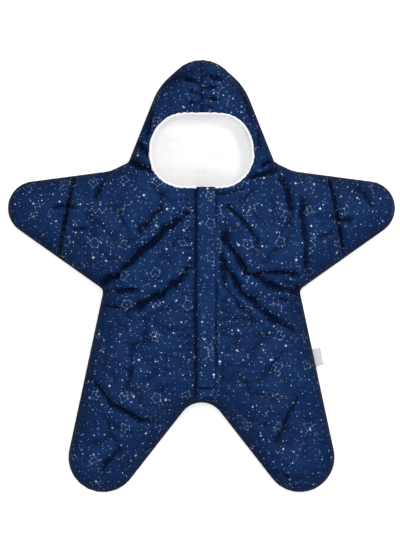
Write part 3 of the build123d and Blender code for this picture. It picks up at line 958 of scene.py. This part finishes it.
def attach(obj, body):
    """A torso piece rides the torso's body; any other piece only has its placement baked into its mesh."""
    if body == "torso":
        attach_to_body(obj, "torso")
    elif body == "hood":
        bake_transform(obj)
    elif body.startswith("sleeve"):
        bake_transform(obj)
    elif body.startswith("leg"):
        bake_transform(obj)
    elif body.startswith("front"):
        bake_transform(obj)
    elif body.startswith("hand_cover"):
        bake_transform(obj)


def cover(obj, slot, *nodes):
    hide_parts(*nodes)


def build_cloths():
    plan, faces = plan_mesh()
    star = star_loop(2.0)
    outer = outer_cloth(plan, faces, star)
    crumple(outer, star)
    soft, soft_normals, pressed = soften(outer, 14)
    # Painted shade: the front's print is darkened where the cloth lies pressed in below its smoothed shape, in its
    # creases.
    outer.crease = np.clip(pressed / 2.3, 0, 1) * outer.is_front
    # Painted shadow along the seams listed in SEAM_SHADOWS.
    for line, width, dark in SEAM_SHADOWS:
        gap = nearest(outer.plan, np.array(line, float))[0]
        outer.crease = np.maximum(outer.crease, dark * np.exp(-(gap / width) ** 2) * outer.is_front)
    # Painted shade in the neck folds and hood tucks, by how deep they are pressed.
    fold_painted_shade = np.clip(fold_depth(outer.plan, NECK_FOLDS + HOOD_TUCKS) / 5.5, 0, 1)
    outer.crease = np.maximum(outer.crease, fold_painted_shade * outer.is_front)
    # Painted shade towards the edge seam on front and back: a broad faint darkening and a dark line at the seam itself.
    edge = nearest(outer.plan, star, closed=True)[0]
    outer.crease = np.maximum(outer.crease, 0.54 * np.exp(-edge / 28) + 0.42 * np.exp(-(edge / 3) ** 2))
    lining = lining_cloth(outer, soft, soft_normals, pressed)
    # The lining gets no painted shade.
    lining.crease = np.zeros(len(lining.xyz))
    on_left = outer.centre[:, 0] > 0
    for index, body in enumerate(REGIONS[:-1]):
        here = outer.region == index
        if body == "torso":
            parts = {
                "back_outer": here & outer.back,
                "front_side_left_outer": here & ~outer.back & on_left,
                "front_side_right_outer": here & ~outer.back & ~on_left,
            }
        elif body == "hood":
            parts = {
                "hood_back_outer": here & outer.back,
                "hood_front_left_outer": here & ~outer.back & on_left,
                "hood_front_right_outer": here & ~outer.back & ~on_left,
            }
        elif body.startswith(("sleeve", "leg")):
            limb, side = body.split("_")
            parts = {
                f"{limb}_back_{side}_outer": here & outer.back,
                f"{limb}_front_{side}_outer": here & ~outer.back,
            }
        else:
            parts = {f"{body}_outer": here}
        for node, mask in parts.items():
            piece = shell(f"{node}_cloth", outer, mask, HALF_WALL, PRINT)
            attach(piece, body)
            cover(piece, "printed_cotton", node)
        inner = "body" if body == "torso" else body
        piece = shell(f"{inner}_lining_cloth", lining, lining.region == index, LINING_THICK, WHITE)
        attach(piece, body)
        cover(piece, "white_cotton", f"{inner}_lining", f"{inner}_wadding")
    return outer, lining


outer, lining = build_cloths()


def surface_z(points):
    """Height of the printed front at points in plan."""
    front = outer.is_front
    plan, z = outer.plan[front], outer.xyz[front][:, 2]
    found = []
    for p in np.asarray(points, float):
        gap = np.hypot(*(plan - p).T)
        near = np.argpartition(gap, 5)[:5]
        weight = 1 / (gap[near] + 0.5)
        found.append((z[near] * weight).sum() / weight.sum())
    return np.array(found)


def sweep(name, middles, sides, ups, section, material):
    """A tube through the middles, capped at both ends. Each section point is an offset along side and up."""
    verts, flat = [], []
    count = len(section)
    length = 0.0
    for i, (middle, side, up) in enumerate(zip(middles, sides, ups)):
        length += np.linalg.norm(middle - middles[i - 1]) if i else 0.0
        for k, (out, rise) in enumerate(section):
            verts.append(middle + side * out + up * rise)
            flat.append((length, k * 1.6))
    faces = []
    for i in range(len(middles) - 1):
        for k in range(count):
            a, b = i * count + k, i * count + (k + 1) % count
            faces.append((a, a + count, b + count, b))
    faces.append(tuple(range(count)))
    faces.append(tuple(len(verts) - count + k for k in range(count))[::-1])
    uvs = [flat[v] for f in faces for v in f]
    return make_object(name, verts, faces, material, uvs)


def build_binding():
    """White binding rolled over the edge of the face opening, in three lengths."""
    loop = oval_loop(2.5)
    outward = loop_normals(loop)
    if ((loop - np.array(FACE_CENTRE)) * outward).sum() < 0:
        outward = -outward
    front = np.flatnonzero(outer.is_front)
    ids = [front[np.argmin(np.hypot(*(outer.plan[front] - p).T))] for p in loop]
    tops, lows = outer.xyz[ids], lining.xyz[ids]
    ups = tops - lows
    height = np.linalg.norm(ups, axis=1, keepdims=True)
    ups = ups / height
    for _ in range(6):
        tops = (np.roll(tops, 1, axis=0) + 2 * tops + np.roll(tops, -1, axis=0)) / 4
        ups = (np.roll(ups, 1, axis=0) + 2 * ups + np.roll(ups, -1, axis=0)) / 4
    out3 = np.column_stack([outward, np.zeros(len(loop))])
    sides = out3 - ups * (out3 * ups).sum(axis=1, keepdims=True)
    sides /= np.linalg.norm(sides, axis=1, keepdims=True)
    wander = np.array([noise.noise(Vector((x / 21, y / 21, 3.3))) for x, y in loop])[:, None]
    half_width, half_height = 2.8, 7.0
    section = []
    for k in range(16):
        c, s = math.cos(2 * math.pi * k / 16), math.sin(2 * math.pi * k / 16)
        section.append((half_width * abs(c) ** 0.8 * np.sign(c), half_height * abs(s) ** 0.7 * np.sign(s)))
    middles = tops - ups * (half_height - 1.5) - sides * (1.0 + 0.6 * wander)
    is_hood = loop[:, 1] >= HOOD_FOLD[1] - 0.5
    left = (loop[:, 1] <= HOOD_FOLD[1] + 1.5) & (loop[:, 0] > 1)
    right = (loop[:, 1] <= HOOD_FOLD[1] + 1.5) & (loop[:, 0] < -1)
    for mask, node, body in ((is_hood, "face_binding", "hood"), (left, "neck_binding_left", "front_left"),
                             (right, "neck_binding_right", "front_right")):
        ids = np.flatnonzero(mask)
        breaks = np.flatnonzero(np.diff(ids) > 1)
        if len(breaks):
            ids = np.concatenate([ids[breaks[0] + 1:], ids[:breaks[0] + 1]])
        piece = sweep(f"{node}_roll", middles[ids], sides[ids], ups[ids], section, BINDING)
        attach(piece, body)
        cover(piece, "binding", node)


def strip_top(x, y, x_range, y_range, low):
    """Height of the placket's padded top: sewn down near its right edge, with gathers running across it."""
    u = x - x_range[0]
    edge = max(0.0, min(u, x_range[1] - x, y - y_range[0], y_range[1] - y))
    puff = 1.9 * (1 - math.exp(-edge / 2.2))
    seam = 1.6 * math.exp(-((u - 2.6) / 1.5) ** 2)
    gather = math.sin(y / 1.95 + 2.2 * math.sin(y / 31) + 1.3 * math.sin(y / 13.7))
    strength = math.exp(-u / 12) * (0.6 + 0.4 * math.sin(y / 27 + 1))
    lift = 0.95 * gather * strength * min(1.0, edge / 1.5)
    wave = 0.9 * noise.noise(Vector((x / 15, y / 26, 7.7)))
    return low + 1.0 * float(smooth(u / 9)) + 0.9 + puff - seam + lift + wave


def strip_shade(x, y, x_range):
    """Painted shade on the placket: how dark it is painted along its sewn edge, and in the valleys of its gathers."""
    u = x - x_range[0]
    gather = math.sin(y / 1.95 + 2.2 * math.sin(y / 31) + 1.3 * math.sin(y / 13.7))
    valley = max(0.0, -gather - 0.35) * math.exp(-u / 11) * (0.6 + 0.4 * math.sin(y / 27 + 1))
    return min(1.0, 0.95 * math.exp(-((u - 0.8) / 2.0) ** 2) + 0.9 * valley)


def padded_strip(name, x_range, y_range, low, along_steps):
    across_steps = 16
    top, bottom, flat, crease = [], [], [], []
    for j in range(along_steps + 1):
        y = y_range[0] + (y_range[1] - y_range[0]) * j / along_steps
        for i in range(across_steps + 1):
            x = x_range[0] + (x_range[1] - x_range[0]) * i / across_steps
            wander = 0.8 * noise.noise(Vector((0, y / 34, 2.0)))
            top.append((x + wander, y, strip_top(x, y, x_range, y_range, low)))
            bottom.append((x + wander, y, low + 0.4 * noise.noise(Vector((x / 15, y / 26, 7.7)))))
            flat.append((x + 11.0, y + 23.0))
            # The placket's painted shade, along its sewn edge and in its gathers.
            crease.append(strip_shade(x, y, x_range))
    count, row = len(top), across_steps + 1
    faces = []
    for j in range(along_steps):
        for i in range(across_steps):
            a = j * row + i
            faces.append((a, a + 1, a + 1 + row, a + row))
            faces.append((a + row + count, a + 1 + row + count, a + 1 + count, a + count))
    last = along_steps * row
    ring = [*range(row), *range(2 * row - 1, last + row, row)]
    ring += [*range(last + row - 2, last - 1, -1), *range(last - row, 0, -row)]
    for a, b in zip(ring, ring[1:] + ring[:1]):
        faces.append((b, a, a + count, b + count))
    uvs = [(flat * 2)[v] for f in faces for v in f]
    strip = make_object(name, top + bottom, faces, PRINT, uvs)
    add_crease(strip, crease * 2)
    return strip


def build_placket():
    """The flap over the zip and its sewn-down tail."""
    flap = padded_strip("placket_flap_cloth", FLAP_X, FLAP_Y, FLAP_LOW, 260)
    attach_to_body(flap, "flap")
    cover(flap, "printed_cotton", "placket_flap")
    tail = padded_strip("placket_tail_cloth", FLAP_X, TAIL_Y, FLAP_LOW - 1.2, 14)
    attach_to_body(tail, "torso")
    cover(tail, "printed_cotton", "placket_tail")


def build_zip_tapes():
    """Woven tapes that hold the teeth on the centre line and dip under the cotton at each side."""
    low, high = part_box("zip_tape_left")
    section = [(1.6, 64.6), (5.6, 64.5), (9.5, 62.4), (15.5, 61.6), (15.5, 61.0), (9.3, 61.8), (5.5, 63.9), (1.6, 64.0)]
    lengths = np.linspace(low.y / MM, high.y / MM - 14, 60)
    for side, sign in (("left", 1), ("right", -1)):
        verts = [(sign * x, y, z) for y in lengths for x, z in section]
        count = len(section)
        faces = []
        for i in range(len(lengths) - 1):
            for k in range(count):
                a, b = i * count + k, i * count + (k + 1) % count
                faces.append((a, b, b + count, a + count)[::sign])
        faces.append(tuple(range(count))[::-sign])
        faces.append(tuple(len(verts) - count + k for k in range(count))[::sign])
        tape = make_object(f"zip_tape_{side}_cloth", verts, faces, NAVY_TAPE)
        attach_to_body(tape, f"front_{side}")
        cover(tape, "zip_tape", f"zip_tape_{side}")


def build_elastics():
    """The flat elastic that gathers the mouth of each hand cover, on the wearer's side of the lining."""
    for side, sign in (("left", 1), ("right", -1)):
        a, b = (np.array(end, float) for end in offset_line(SLIT, 5.0))
        steps = 48
        verts, faces = [], []
        for i in range(steps + 1):
            x, y = a + (b - a) * (0.24 + 0.5 * i / steps)
            ripple = 0.5 * math.sin(i * 1.3)
            for out, up in ((-2.5, 0), (2.5, 0), (2.5, -1.1), (-2.5, -1.1)):
                verts.append((sign * (x + out), y, 41.0 + up + ripple))
        for i in range(steps):
            for k in range(4):
                c, d = i * 4 + k, i * 4 + (k + 1) % 4
                faces.append((c, d, d + 4, c + 4)[::sign])
        faces.append((0, 1, 2, 3)[::-sign])
        faces.append(tuple(steps * 4 + k for k in range(4))[::sign])
        band = make_object(f"hand_elastic_{side}_band", verts, faces, ELASTIC)
        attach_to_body(band, f"hand_cover_{side}")
        cover(band, "elastic", f"hand_elastic_{side}")


def build_label():
    """A woven tab folded over and sewn into the side seam, left blank."""
    run = np.array(STAR[6][0], float) - np.array(UNDERARM, float)
    run /= np.linalg.norm(run)
    out = np.array([-run[1], run[0]])
    middle = np.array([201.1, -146.0])
    wide, long = 15, 24
    verts, faces, uvs = [], [], []
    for layer, lift in enumerate((0.55, -0.45)):
        for j in range(long + 1):
            for i in range(wide + 1):
                u, v = -1.6 + 16.4 * i / wide, -15.5 + 31.0 * j / long
                fold = 1 - (max(0.0, u - 13.0) / 1.8) ** 2
                bend = -0.012 * u * u + 0.5 * math.sin(v / 9.0) * max(u, 0) / 14
                x, y = middle + out * u + run * v
                verts.append((x, y, SEAM_Z + bend + lift * math.sqrt(max(fold, 0.0)) + 0.4))
    row, count = wide + 1, (wide + 1) * (long + 1)
    for j in range(long):
        for i in range(wide):
            a = j * row + i
            faces.append((a, a + row, a + row + 1, a + 1))
            faces.append((a + count + 1, a + row + 1 + count, a + row + count, a + count))
    last = long * row
    ring = [*range(row), *range(2 * row - 1, last + row, row)]
    ring += [*range(last + row - 2, last - 1, -1), *range(last - row, 0, -row)]
    for a, b in zip(ring, ring[1:] + ring[:1]):
        faces.append((a, b, b + count, a + count))
    uvs = [(verts[v][0], verts[v][1]) for f in faces for v in f]
    tab = make_object("side_label_tab", verts, faces, LABEL, uvs)
    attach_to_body(tab, "label")
    cover(tab, "woven_label", "side_label")


def stitches(name, path, pitch, length, radius, material):
    """A row of short raised threads along a path of points."""
    path = np.array(path, float)
    gaps = np.linalg.norm(np.diff(path, axis=0), axis=1)
    along = np.concatenate([[0], np.cumsum(gaps)])
    verts, faces = [], []
    sides = 6
    for k in range(int(along[-1] / pitch)):
        start = (k + 0.5) * pitch
        ends = [np.array([np.interp(start + d, along, path[:, a]) for a in range(3)]) for d in (0, length)]
        run = (ends[1] - ends[0]) / np.linalg.norm(ends[1] - ends[0])
        side = np.cross(run, [0, 0, 1])
        side /= np.linalg.norm(side)
        up = np.cross(side, run)
        first = len(verts)
        for t, scale, sink in ((0, 0.35, 0.9), (0.18, 0.9, 0.3), (0.5, 1.0, 0.0), (0.82, 0.9, 0.3), (1, 0.35, 0.9)):
            middle = ends[0] + (ends[1] - ends[0]) * t - up * sink * radius
            for m in range(sides):
                angle = 2 * math.pi * m / sides
                verts.append(middle + radius * scale * (side * math.cos(angle) + up * math.sin(angle)))
        for ring in range(4):
            for m in range(sides):
                a, b = first + ring * sides + m, first + ring * sides + (m + 1) % sides
                faces.append((a, b, b + sides, a + sides)[::-1])
        faces.append(tuple(first + m for m in range(sides)))
        faces.append(tuple(first + 4 * sides + m for m in range(sides))[::-1])
    return make_object(name, verts, faces, material)


def build_stitching():
    """Top-stitching along the placket and the two hems of each hand slit."""
    x = FLAP_X[0] + 2.6
    path = [(x, y, strip_top(x, y, FLAP_X, FLAP_Y, FLAP_LOW) + 0.15) for y in np.arange(FLAP_Y[0] + 2, FLAP_Y[1] - 2, 1.5)]
    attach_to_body(stitches("placket_stitching", path, 3.9, 2.9, 0.34, THREAD), "flap")
    for side, sign in (("left", 1), ("right", -1)):
        for body, gap in ((f"sleeve_{side}", -5.0), (f"hand_cover_{side}", 5.0)):
            line = np.array(chain(offset_line(SLIT, gap), 1.5)) * [sign, 1]
            path = np.column_stack([line, surface_z(line) + 0.2])
            attach(stitches(f"{body}_hem_stitching", path, 3.9, 2.9, 0.34, THREAD), body)


build_binding()
build_placket()
build_zip_tapes()
build_elastics()
build_label()
build_stitching()

NODE_MATERIALS = {
    "zip_tape": NAVY_TAPE, "zip_teeth": TEETH, "zip_top_stop": METAL, "zip_bottom_stop": METAL, "zip_slider": METAL,
    "zip_puller": METAL,
}
for node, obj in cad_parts.items():
    if obj.hide_render:
        continue
    for start, material in NODE_MATERIALS.items():
        if node.startswith(start):
            obj.data.materials.clear()
            obj.data.materials.append(material)
    print("still shown:", node)


# ------------------------------------------------------------------------------------------------------ floor and light


def build_stage():
    floor = make_object("floor", [(-4000, -4000, -0.4), (4000, -4000, -0.4), (4000, 4000, -0.4), (-4000, 4000, -0.4)],
                        [(0, 1, 2, 3)], floor_material())
    world = bpy.data.worlds.new("studio")
    bpy.context.scene.world = world
    world.use_nodes = True
    world.node_tree.nodes["Background"].inputs[0].default_value = (1, 1, 1, 1)
    seen = world.node_tree.nodes.new("ShaderNodeLightPath").outputs[0]
    strength = world.node_tree.nodes.new("ShaderNodeMapRange")
    strength.inputs["To Min"].default_value, strength.inputs["To Max"].default_value = 0.62, 1.0
    world.node_tree.links.new(seen, strength.inputs["Value"])
    world.node_tree.links.new(strength.outputs[0], world.node_tree.nodes["Background"].inputs[1])
    bpy.context.scene.view_settings.view_transform = "Standard"
    for name, place, size, power in (("overhead", (-0.1, 0.2, 2.4), 1.3, 19), ("key", (1.2, 1.3, 1.7), 0.8, 23)):
        light = bpy.data.lights.new(name, "AREA")
        light.energy, light.size = power, size
        lamp = bpy.data.objects.new(name, light)
        bpy.context.scene.collection.objects.link(lamp)
        lamp.location = place
        lamp.rotation_euler = (Vector((0, 0, 0.03)) - Vector(place)).to_track_quat("-Z", "Y").to_euler()


def build_camera():
    """Straight above, with the hood at the top of the picture."""
    data = bpy.data.cameras.new("camera")
    data.lens = 100
    data.clip_end = 20
    camera = bpy.data.objects.new("camera", data)
    bpy.context.scene.collection.objects.link(camera)
    camera.location = (-0.0027, 0.0171, 2.613 + 0.05)
    bpy.context.scene.camera = camera


build_stage()
build_camera()
